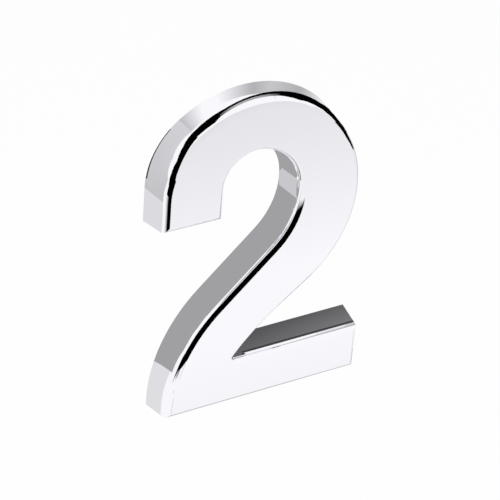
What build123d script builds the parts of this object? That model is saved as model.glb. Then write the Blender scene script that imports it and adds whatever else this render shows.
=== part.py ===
import os
from math import acos, cos, degrees, radians

from build123d import *

os.makedirs("parts", exist_ok=True)

# Overall size in millimetres, taken at the back edge of the moulding, which is its largest outline
height = 70.0
width = 48.3
depth = 7.2
draft_angle = 6.6
front_radius = 1.2
notch_radius = 0.5

# Strokes of the figure: the hook's end and the foot
hook_width = 14.2
hook_drop = 25.4
foot_height = 11.5

# Outside curve, from the hook's end over the top and down the diagonal to the foot.
# A heading is the way that the outline runs, in degrees up from the reader's right
shoulder_radius = 16.5
crown_radius = 23.9
bowl_radius = 25.0
outer_straight = 7.7
outer_sweep_radius = 55.4
crown_heading = 36.0
bowl_heading = -48.0
outer_heading = -143.0

# Inside curve, from the hook's end round the bowl and down the diagonal to the bottom left corner
hook_straight = 7.4
eye_radius = 6.3
inner_bowl_radius = 10.45
inner_turn_radius = 15.0
inner_straight = 16.2
inner_sweep_radius = 33.1
eye_heading = -15.0
turn_heading = -81.0
inner_heading = -137.0

# Shell: an even wall, a seat for the pad inside the rim, and ribs that carry the pad across the hollow
wall = 2.0
rim = 1.0
seat_depth = 0.6
rib = 1.2
rib_length = 32.0

# Foam pad: it stands proud of the rim, so that the pad and not the rim meets the wall
pad_thickness = 1.0
pad_clearance = 0.15

# The pad's glued face is the plane Y = 0, and the figure faces -Y.
# The origin is at mid-width, on the diagonal
origin_height = 26.0
rim_y = seat_depth - pad_thickness
seat_y = -pad_thickness
hollow = depth - seat_depth - wall
left = -width / 2
bottom = -origin_height
foot_top = bottom + foot_height
hook_bottom = bottom + height - hook_drop
shoulder_rise = shoulder_radius * cos(radians(crown_heading))
crown_rise = crown_radius * (1 - cos(radians(crown_heading)))
outer_hook_straight = hook_drop - shoulder_rise - crown_rise


def turn_down_to(level, start, radius, heading):
    """Turn in degrees that brings a left-hand curve from a point and a heading down to a level."""
    slope = cos(radians(heading)) + (start.Y - level) / radius
    return -degrees(acos(slope)) - heading


# Back outline of the figure, drawn once as straight lines and tangent arcs
with BuildSketch() as figure:
    with BuildLine():
        hook_side = Line((left, hook_bottom), (left, hook_bottom + outer_hook_straight))
        shoulder = JernArc(hook_side @ 1, hook_side % 1, shoulder_radius, crown_heading - 90)
        crown = JernArc(shoulder @ 1, shoulder % 1, crown_radius, bowl_heading - crown_heading)
        bowl = JernArc(crown @ 1, crown % 1, bowl_radius, outer_heading - bowl_heading)
        diagonal = PolarLine(bowl @ 1, outer_straight, outer_heading)
        turn = turn_down_to(foot_top, diagonal @ 1, outer_sweep_radius, outer_heading)
        outer_sweep = JernArc(diagonal @ 1, diagonal % 1, outer_sweep_radius, turn)
        foot_edge = Line(outer_sweep @ 1, (left + width, foot_top))
        foot_end = Line(foot_edge @ 1, (left + width, bottom))
        hook_inside = PolarLine((left + hook_width, hook_bottom), hook_straight, 90)
        eye = JernArc(hook_inside @ 1, hook_inside % 1, eye_radius, eye_heading - 90)
        inner_bowl = JernArc(eye @ 1, eye % 1, inner_bowl_radius, turn_heading - eye_heading)
        inner_turn = JernArc(inner_bowl @ 1, inner_bowl % 1, inner_turn_radius, inner_heading - turn_heading)
        inner_diagonal = PolarLine(inner_turn @ 1, inner_straight, inner_heading)
        turn = turn_down_to(bottom, inner_diagonal @ 1, inner_sweep_radius, inner_heading)
        inner_sweep = JernArc(inner_diagonal @ 1, inner_diagonal % 1, inner_sweep_radius, turn)
        Line(inner_sweep @ 1, foot_end @ 1)
        Line(hook_inside @ 0, hook_side @ 0)
    make_face()

# The hollow behind the face, with the ribs left standing across each stroke
with BuildPart() as core:
    with BuildSketch(Plane.XZ.offset(-seat_y)):
        add(figure.sketch_local)
        offset(amount=-wall)
    extrude(amount=hollow)
    draft(core.faces().filter_by(Axis.Y, reverse=True), Plane.XZ.offset(-seat_y), draft_angle)
    with BuildSketch(Plane.XZ.offset(-seat_y)):
        for edge in (hook_side, crown, bowl, diagonal, foot_edge):
            place = edge @ 0.5
            with Locations(Location((place.X, place.Y), edge.tangent_angle_at(0.5))):
                Rectangle(rib, rib_length)
    extrude(amount=hollow, mode=Mode.SUBTRACT)

# The moulding: drafted walls, rounded front edge, seat and hollow in its back
with BuildPart() as digit:
    with BuildSketch(Plane.XZ.offset(-rim_y)):
        add(figure.sketch_local)
    extrude(amount=depth)
    draft(digit.faces().filter_by(Axis.Y, reverse=True), Plane.XZ.offset(-rim_y), draft_angle)
    notch = outer_sweep @ 1
    running = digit.edges().filter_by(lambda edge: abs((edge % 0.5).Y) > 0.5)
    fillet(running.sort_by_distance((notch.X, rim_y - depth / 2, notch.Y))[0], notch_radius)
    fillet(digit.faces().sort_by(Axis.Y)[0].edges(), front_radius)
    with BuildSketch(Plane.XZ.offset(-rim_y)):
        add(figure.sketch_local)
        offset(amount=-rim)
    extrude(amount=seat_depth, mode=Mode.SUBTRACT)
    add(core.part, mode=Mode.SUBTRACT)

# The die-cut double-sided foam pad, seated inside the rim
with BuildPart() as adhesive_pad:
    with BuildSketch(Plane.XZ):
        add(figure.sketch_local)
        offset(amount=-rim - pad_clearance)
    extrude(amount=pad_thickness)

digit.part.label = "digit"
export_step(digit.part, "parts/digit.step")
adhesive_pad.part.label = "adhesive_pad"
export_step(adhesive_pad.part, "parts/adhesive_pad.step")
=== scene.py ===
from math import atan2, cos, degrees, radians, sin

import bmesh
import bpy
from mathutils import Matrix, Vector
from numpy import interp


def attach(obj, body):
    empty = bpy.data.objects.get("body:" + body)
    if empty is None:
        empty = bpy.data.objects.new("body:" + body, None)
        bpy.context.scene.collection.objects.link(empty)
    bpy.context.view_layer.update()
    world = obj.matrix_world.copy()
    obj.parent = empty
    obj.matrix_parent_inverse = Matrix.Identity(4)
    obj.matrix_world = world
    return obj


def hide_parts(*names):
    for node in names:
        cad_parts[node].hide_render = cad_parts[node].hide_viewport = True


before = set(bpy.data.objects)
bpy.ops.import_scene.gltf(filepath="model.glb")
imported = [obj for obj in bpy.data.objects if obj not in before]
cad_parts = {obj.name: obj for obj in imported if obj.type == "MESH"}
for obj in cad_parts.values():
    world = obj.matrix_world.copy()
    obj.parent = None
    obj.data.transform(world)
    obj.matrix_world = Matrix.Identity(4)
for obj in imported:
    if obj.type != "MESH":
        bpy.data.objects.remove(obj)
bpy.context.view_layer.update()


# The figure: one hollow moulding in hard plastic with a bright chrome plate all over.
# The plate is polished, so its surface is nearly a mirror, with the slight waves that a moulding keeps
# under the plate and a faint haze from wiping.
class Wire:
    """An output socket of a node tree. Arithmetic on wires adds Math nodes to the same tree."""

    def __init__(self, socket):
        self.socket = socket
        self.tree = socket.id_data

    @staticmethod
    def node(tree, kind, settings, sockets, output=0):
        """Adds one node, with its settings first and then a value or a wire for each socket."""
        made = tree.nodes.new("ShaderNode" + kind)
        for name, value in settings.items():
            setattr(made, name, value)
        for name, value in sockets.items():
            if isinstance(value, Wire):
                tree.links.new(value.socket, made.inputs[name])
            else:
                made.inputs[name].default_value = value
        return Wire(made.outputs[output]) if made.outputs else None

    def maths(self, operation, first, second):
        return Wire.node(self.tree, "Math", {"operation": operation}, {0: first, 1: second})

    def __add__(self, other):
        return self.maths("ADD", self, other)

    __radd__ = __add__

    def __mul__(self, other):
        return self.maths("MULTIPLY", self, other)

    __rmul__ = __mul__

    def __or__(self, other):
        return self.maths("MAXIMUM", self, other)

    __ror__ = __or__


def blank_material(name):
    material = bpy.data.materials.new(name)
    material.use_nodes = True
    material.node_tree.nodes.clear()
    return material, material.node_tree


mm = 0.001
chrome, tree = blank_material("chrome_plate")
place = Wire.node(tree, "TexCoord", {}, {}, "Object")
waves = Wire.node(tree, "TexNoise", {}, {"Vector": place, "Scale": 60.0, "Detail": 0.0})
haze = Wire.node(tree, "TexNoise", {}, {"Vector": place, "Scale": 260.0, "Detail": 4.0})
wiped = Wire.node(tree, "MapRange", {}, {"Value": haze, "From Min": 0.45, "From Max": 0.75, "To Max": 1.0})
relief = Wire.node(tree, "Bump", {}, {"Strength": 0.01, "Distance": 0.2 * mm, "Height": waves})
plate = Wire.node(tree, "BsdfPrincipled", {}, {
    "Base Color": (0.945, 0.937, 0.98, 1.0),
    "Metallic": 1.0,
    "Roughness": 0.015 + 0.02 * wiped,
    "Normal": relief,
})
Wire.node(tree, "OutputMaterial", {}, {"Surface": plate})

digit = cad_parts["digit"]
digit.data.materials.clear()
digit.data.materials.append(chrome)


# The pad: double-sided foam tape, die-cut to the figure's outline and pressed into the seat in its back.
# White closed-cell foam, with the tacky adhesive on its outer face.
foam, tree = blank_material("adhesive_foam")
place = Wire.node(tree, "TexCoord", {}, {}, "Object")
cells = Wire.node(tree, "TexVoronoi", {}, {"Vector": place, "Scale": 2600.0})
mottle = Wire.node(tree, "TexNoise", {}, {"Vector": place, "Scale": 420.0, "Detail": 4.0})
streaks = Wire.node(tree, "Mapping", {}, {"Vector": place, "Scale": (40.0, 40.0, 900.0)})
spread = Wire.node(tree, "TexNoise", {}, {"Vector": streaks, "Scale": 1.0, "Detail": 2.0})
tint = Wire.node(tree, "Mix", {"data_type": "RGBA"}, {
    0: 0.45 * mottle + 0.35 * spread + 0.3 * cells,
    6: (0.60, 0.60, 0.57, 1.0),
    7: (0.95, 0.95, 0.92, 1.0),
}, 2)
relief = Wire.node(tree, "Bump", {}, {"Strength": 0.35, "Distance": 0.06 * mm, "Height": cells})
skin = Wire.node(tree, "BsdfPrincipled", {}, {
    "Base Color": tint,
    "Roughness": 0.3 + 0.4 * mottle,
    "Normal": relief,
})
Wire.node(tree, "OutputMaterial", {}, {"Surface": skin})

pad = bpy.data.objects.new("foam_pad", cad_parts["adhesive_pad"].data.copy())
bpy.context.scene.collection.objects.link(pad)
shape = bmesh.new()
shape.from_mesh(pad.data)
bmesh.ops.remove_doubles(shape, verts=shape.verts, dist=0.001 * mm)
shape.to_mesh(pad.data)
shape.free()
pad.data.materials.clear()
pad.data.materials.append(foam)
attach(pad, "root")
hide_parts("adhesive_pad")


# The studio floor: a wide pale sheet well below the figure, which hangs on a wall in use.
# It is white to the lens and in the chrome, and keeps a share of its own shading for the shadow.
def is_seen(tree):
    """One where a ray comes from the lens or from a mirror, and nought where it only lights."""
    lens = Wire.node(tree, "LightPath", {}, {}, "Is Camera Ray")
    mirror = Wire.node(tree, "LightPath", {}, {}, "Is Glossy Ray")
    glass = Wire.node(tree, "LightPath", {}, {}, "Is Transmission Ray")
    return lens | mirror | glass


paper, tree = blank_material("floor_paper")
matt = Wire.node(tree, "BsdfDiffuse", {}, {"Color": (0.92, 0.92, 0.92, 1.0)})
white_sheet = Wire.node(tree, "Emission", {}, {"Color": (1.0, 1.0, 1.0, 1.0), "Strength": 1.0})
blend = Wire.node(tree, "MixShader", {}, {0: 0.95 * is_seen(tree), 1: matt, 2: white_sheet})
Wire.node(tree, "OutputMaterial", {}, {"Surface": blend})

floor_width = 8.0
floor_level = -0.3
sheet = bmesh.new()
bmesh.ops.create_grid(sheet, x_segments=1, y_segments=1, size=floor_width / 2)
bmesh.ops.translate(sheet, verts=sheet.verts, vec=(0.0, 0.0, floor_level))
mesh = bpy.data.meshes.new("floor")
sheet.to_mesh(mesh)
sheet.free()
mesh.materials.append(paper)
floor = bpy.data.objects.new("floor", mesh)
bpy.context.scene.collection.objects.link(floor)


# Glowing cards close behind the figure, just past the plane of its glued face, where a wall would be.
# Only the chrome sees them: they paint its reflections, with painted shade inside the bay, the eye and over
# the foot, and leave the back of the figure open to the lens.
# Each is cut to the stretch of wall whose painted reflection it gives, in millimetres from the frame's
# origin.
# The stock glows with its own tone and no lamp lights it: each card is a painted reflection.
reflection_paint, tree = blank_material("reflection_paint")
tone = Wire.node(tree, "Attribute", {"attribute_name": "tone"}, {}, "Fac")
even = Wire.node(tree, "Emission", {}, {"Color": tone, "Strength": 1.0})
Wire.node(tree, "OutputMaterial", {}, {"Surface": even})


def hang(name, sheet):
    """Makes a glowing card of a finished sheet, a painted reflection. It shows in the chrome alone."""
    mesh = bpy.data.meshes.new(name)
    sheet.to_mesh(mesh)
    sheet.free()
    mesh.materials.append(reflection_paint)
    made = bpy.data.objects.new(name, mesh)
    bpy.context.scene.collection.objects.link(made)
    made.visible_camera = False
    made.visible_diffuse = False
    made.visible_shadow = False


def card(name, tones, corners):
    """A flat card, with its corners in millimetres and one tone all over or one for each corner."""
    sheet = bmesh.new()
    layer = sheet.verts.layers.float.new("tone")
    edge = [sheet.verts.new(Vector(corner) * mm) for corner in corners]
    for point, shade in zip(edge, tones if len(tones) > 1 else tones * len(edge)):
        point[layer] = shade
    sheet.faces.new(edge)
    hang(name, sheet)


def card_across(name, tones, y, corners):
    """A flat card parallel to the figure's face."""
    card(name, tones, [(x, y, z) for x, z in corners])


def curved_card(name, stops, y, centre, radii):
    """A card parallel to the figure's face, cut to a curve. Its stops are falling angles with tones."""
    angles, tones = zip(*reversed(stops))
    pivot = Vector((centre[0], y, centre[1])) * mm
    start, sweep = radians(angles[-1]), radians(angles[0] - angles[-1])
    sheet = bmesh.new()
    layer = sheet.verts.layers.float.new("tone")
    ends = [sheet.verts.new(pivot + Vector((cos(start), 0.0, sin(start))) * radius * mm) for radius in radii]
    edge = sheet.edges.new(ends)
    bmesh.ops.spin(sheet, geom=ends + [edge], cent=pivot, axis=(0, -1, 0), angle=sweep, steps=24)
    for point in sheet.verts:
        reach = point.co - pivot
        point[layer] = interp(degrees(atan2(reach.z, reach.x)), angles, tones)
    hang(name, sheet)


black = 0.0
white = 1.0
to_white = [black, black, white, white]
top_layer = 0.15
middle_layer = 0.20
back_layer = 0.25
edge_layer = 0.30
last_layer = 0.40
band_layer = 7.9
eye_layer = 8.0

# Painted reflections on the outside of the hook and the shoulder, up to the crown: grey tones fading to
# white, and painted dark lines
card_across("hook_card", [0.75], back_layer, [
    (-23.5, 26.8), (-23.5, 19), (-30.6, 12.3), (-33, 14.8), (-33, 17.3)])
card_across("shoulder_card", [0.56, 0.56, 0.6, 0.66, 0.68, 0.68, 0.68], back_layer, [
    (-23.5, 26.8), (-30.2, 20.3), (-32.2, 28.6), (-28.6, 36.9), (-25, 41), (-21.2, 44.7), (-17.5, 39.3)])
card_across("shoulder_fade", [0.52, 0.52, white, white], back_layer, [
    (-17.5, 39.3), (-21.2, 44.7), (-16.2, 47.2), (-12.4, 42.3)])
card_across("shoulder_dark_line", [black], middle_layer, [
    (-20.8, 48.1), (-21.2, 45.1), (-23.6, 43.7), (-26.1, 41.9),
    (-28.2, 39.8), (-30.2, 37.5), (-30.2, 57), (-26.3, 53.5)])
curved_card("shoulder_line", [(175, 0.02), (135, 0.02)], middle_layer, (-7.65, 26.1), (17.2, 17.6))

# Crown and bowl: painted reflections of a grey wall, a painted dark line in front of it and the painted
# white highlight that bounds the line
curved_card("crown_card", [(104, white), (85, 0.46), (75, 0.6), (58, 0.45), (36, white)], back_layer,
            (-3.5, 19), (20, 29.2))
curved_card("crown_dark_line", [(122, black), (99, black)], middle_layer, (-5.5, 19.2), (30.35, 33.5))
curved_card("bowl_dark_line", [(96, black), (20, black)], middle_layer, (-8, 20.5), (28.8, 33.0))
cover_centre = (-8.8, 15.3)
cover_radius = 35.3
curved_card("crown_shade", [(96, 0.08), (91, 0.3), (86, 0.45), (76, 0.4), (69, 0.3), (63, 0.02)], top_layer,
            cover_centre, (34.6, cover_radius))
card_across("crown_highlight", [white], top_layer, [
    (-21.6, 50.5), (-17.4, 50.3), (-12.5, 50.4), (-13.6, 61), (-24.5, 58.5)])
curved_card("bowl_highlight", [(96, white), (66, white)], top_layer, cover_centre, (cover_radius, 46.0))
card_across("bowl_highlight_taper", [white], top_layer, [
    (5.6, 47.5), (9.9, 57.3), (30, 54), (20, 43.6), (16.2, 42.9), (12.8, 43.8), (9.2, 45.8)])
card_across("bowl_dark", [black], middle_layer, [
    (14.5, 42.6), (16, 36), (18.6, 30.5), (60, 22), (60, 48), (40, 46.8), (31, 45.3), (20, 43.2)])
curved_card("bowl_edge", [(8, 0.4), (-40, 0.6)], edge_layer, (-4.1, 20), (25.5, 56.0))
right_side = 130.0
right_tone = 0.85
card_across("right_card_back", [right_tone], last_layer, [
    (20, 24), (right_side, 8), (right_side, -60), (20, -60)])

# Inside walls: painted shade in the bay under the hook and in the eye, a lighter painted band in the eye,
# and a pale painted reflection in the bottom left corner
recess_shade_tone = 0.373
card_across("bay_painted_shade", [recess_shade_tone], back_layer, [
    (-19, -15.6), (-28.7, -17.2), (-27.5, -8), (-23.8, -0.5), (-18.9, 6.2), (-6.6, 17.4), (0.5, 10.6)])
card_across("eye_painted_shade", [recess_shade_tone], eye_layer, [
    (-15.8, 26.6), (-18, 21.3), (-17.5, 15.7), (-14.2, 10.9), (-10, 8.4),
    (-4.5, 7.6), (0, 7.9), (6.2, 10.8), (10.8, 16), (8, 23)])
card_across("eye_painted_band", [0.61], band_layer, [(-0.7, 14.2), (-4.4, 7.9), (-12, 9.7), (-5.2, 13.7)])
card_across("corner_card", [0.77], middle_layer, [
    (-19, -15.6), (-27.9, -17.1), (-27.7, -20.9), (-27.3, -25), (-26, -33), (-19, -33)])

# Top of the foot: painted shade, darkest at its left end deep in the corner by the diagonal, with a painted
# dark line along it
card_across("foot_painted_shade", [0.06, 0.115, 0.21, 0.13], middle_layer, [
    (-6, -15), (26, -15), (32, -6.7), (-1, -6.7)])
card_across("foot_line", [0.05], top_layer, [(-1.2, -7.5), (30, -7.5), (30.6, -6.9), (-0.8, -6.9)])


# Glowing flags and cards of the same stock in front of the figure, beside it and under it, hidden from the
# lens.
# Black flags paint the dark line along the rounded edge, and a graded card paints the reflection on the flat
# face.
# Some of them hang only a few millimetres off the chrome.
def card_beside(name, tones, x, corners):
    """A flat card at right angles to the figure's face."""
    card(name, tones, [(x, y, z) for y, z in corners])


def graded_card(name, stops, y, corners):
    """A card parallel to the figure's face, toned by height. Its stops are rising heights with tones."""
    heights, tones = zip(*stops)
    sheet = bmesh.new()
    layer = sheet.verts.layers.float.new("tone")
    sheet.faces.new([sheet.verts.new(Vector((x, y, z)) * mm) for x, z in corners])
    for height in heights:
        everything = sheet.verts[:] + sheet.edges[:] + sheet.faces[:]
        bmesh.ops.bisect_plane(sheet, geom=everything, plane_co=(0, 0, height * mm), plane_no=(0, 0, 1))
    for point in sheet.verts:
        point[layer] = interp(point.co.z / mm, heights, tones)
    hang(name, sheet)


# The far black flag, with soft lower ends, which paints the dark line for the hook and the lower half of the
# diagonal
front = -107.0
card_across("front_flag", [black], front, [
    (34.5, -40), (6, -22), (-14, -11), (-42, 7), (-62, 12), (-360, 14), (-360, -110),
    (-200, -56), (-110, -38), (-44, -43), (-36, -50), (6, -51), (34.5, -57)])
card_across("front_fade_left", to_white, front, [(-44, -43), (-110, -38), (-165, -58), (-90, -60)])
card_across("front_fade_corner", [black, black, white], front, [(-36, -50), (-44, -43), (-90, -60)])
card_across("front_fade_foot", to_white, front, [(6, -51), (-36, -50), (-90, -60), (6, -61)])
card_across("front_fade_right", to_white, front, [(34.5, -57), (6, -51), (6, -61), (34.5, -67)])

# Black flags beside the shoulder and the hook, in front of the bay, and to the right of the bowl, which
# paint dark lines in the chrome
shoulder_side = -30.0
card_beside("shoulder_flag", [black], shoulder_side, [
    (back_layer, 37.7), (-3, 34), (-5, 31.5), (-11, 27.2), (-18, 25.6), (-46, 19), (-46, 24),
    (-24, 35.5), (-18.6, 40.6), (-11.5, 46.2), (-6.8, 51.5), (back_layer, 57)])
hook_side = -25.7
card_beside("hook_flag", [black], hook_side, [
    (-11.8, 15.4), (-11.8, 25), (-15.7, 22.2), (-27, 14.2), (-27, 5.2), (-15.7, 12.9)])
card_beside("hook_fade", to_white, hook_side, [(-11.8, 15.4), (-11.8, 25), (-7.4, 27.4), (-7.4, 17.4)])
bay_front = -10.0
card_across("bay_flag", [black], bay_front, [
    (9, 17.2), (8.6, 15.2), (7, 11.4), (3.6, 7.1), (-2.8, 1.2), (-8.4, -4), (-12.1, -8.1), (-14.4, -12),
    (-15.6, -13.4), (-19.4, -14.6), (-22.6, -13.4), (-24, -10.8), (-19.8, -3.4), (-14.6, 2.3),
    (-2.5, 13.6), (-1.6, 15.4)])
card_across("bay_fade", to_white, bay_front, [(9, 17.2), (-1.6, 15.4), (-0.6, 17), (9.2, 18.9)])
bowl_side = 60.0
wall_edge = 0.1
card_beside("bowl_flag", [black], bowl_side, [
    (wall_edge, 14), (wall_edge, 48), (-10, 46), (-15, 42), (-28, 31), (-50, 22), (-50, 8), (-32, 12)])

# The face's graded card, a painted reflection that is white across the middle and greyer to the top, with a
# thin painted grey line for the corner's edge just before it
face_front = -12.0
graded_card("face_card", [(-45, 0.92), (-15, white), (1, white), (33, 0.85), (48, 0.80)], face_front, [
    (-19.9, -60), (-19.9, 24), (-19.3, 27.3), (-22, 30.8), (-23.2, 34.6), (-26.2, 42), (-30, 60),
    (-30, 160), (60, 160), (40, 68), (17.5, 42), (19.8, 33.2), (21.5, 28.3), (24, 23), (30, 15), (30, -60)])
line_front = -11.9
card_across("corner_line", [0.62], line_front, [
    (-14.4, -16), (-15.4, -18.8), (-16.3, -22.3), (-16.8, -25.1), (-17, -29.8),
    (-18.3, -29.5), (-18.1, -24), (-17.6, -21.7), (-16.8, -18), (-15.8, -15.2)])

# A grey card under the foot and a pale card far to the right, which paint the reflections in the lower and
# right walls
under_foot_level = -40.0
card("under_foot_reflection", [0.5], [(-30, -9, under_foot_level), (50, -9, under_foot_level), (50, 12, under_foot_level), (-30, 12, under_foot_level)])
card_beside("right_card", [right_tone], right_side, [
    (wall_edge, -130), (wall_edge, 80), (front, 80), (front, -130)])


# The light: one square softbox overhead, a little in front and to the left, which the chrome doesn't show,
# and an even white room all round, at half strength where it lights and at full where it is seen.
lamp = bpy.data.lights.new("softbox", "AREA")
lamp.size = 0.15
lamp.energy = 9.0
softbox = bpy.data.objects.new("softbox", lamp)
bpy.context.scene.collection.objects.link(softbox)
softbox.location = (-0.15, -0.25, 1.0)
softbox.rotation_mode = "QUATERNION"
softbox.rotation_quaternion = softbox.location.to_track_quat("Z", "Y")
softbox.visible_glossy = False

room = bpy.data.worlds.new("room")
bpy.context.scene.world = room
room.use_nodes = True
tree = room.node_tree
tree.nodes.clear()
air = Wire.node(tree, "Background", {}, {
    "Color": (1.0, 1.0, 1.0, 1.0),
    "Strength": 0.5 + 0.5 * is_seen(tree),
})
Wire.node(tree, "OutputWorld", {}, {"Surface": air})


# The camera: a long lens, above the figure and to its left, as the photograph was taken.
# Its place and its two axes come from a fit of the figure's outline to the photograph.
eye = Vector((-213.984, -339.984, 267.388)) * mm
right = Vector((0.86602, -0.49556, 0.06653))
up = Vector((0.2237, 0.503, 0.83484))
lens = bpy.data.cameras.new("camera")
lens.lens = 174.213
lens.sensor_width = 36.0
lens.clip_start = 0.01
camera = bpy.data.objects.new("camera", lens)
bpy.context.scene.collection.objects.link(camera)
axes = Matrix((right, up, right.cross(up))).transposed().to_4x4()
camera.matrix_world = Matrix.Translation(eye) @ axes
bpy.context.scene.camera = camera
bpy.context.scene.view_settings.view_transform = "Standard"
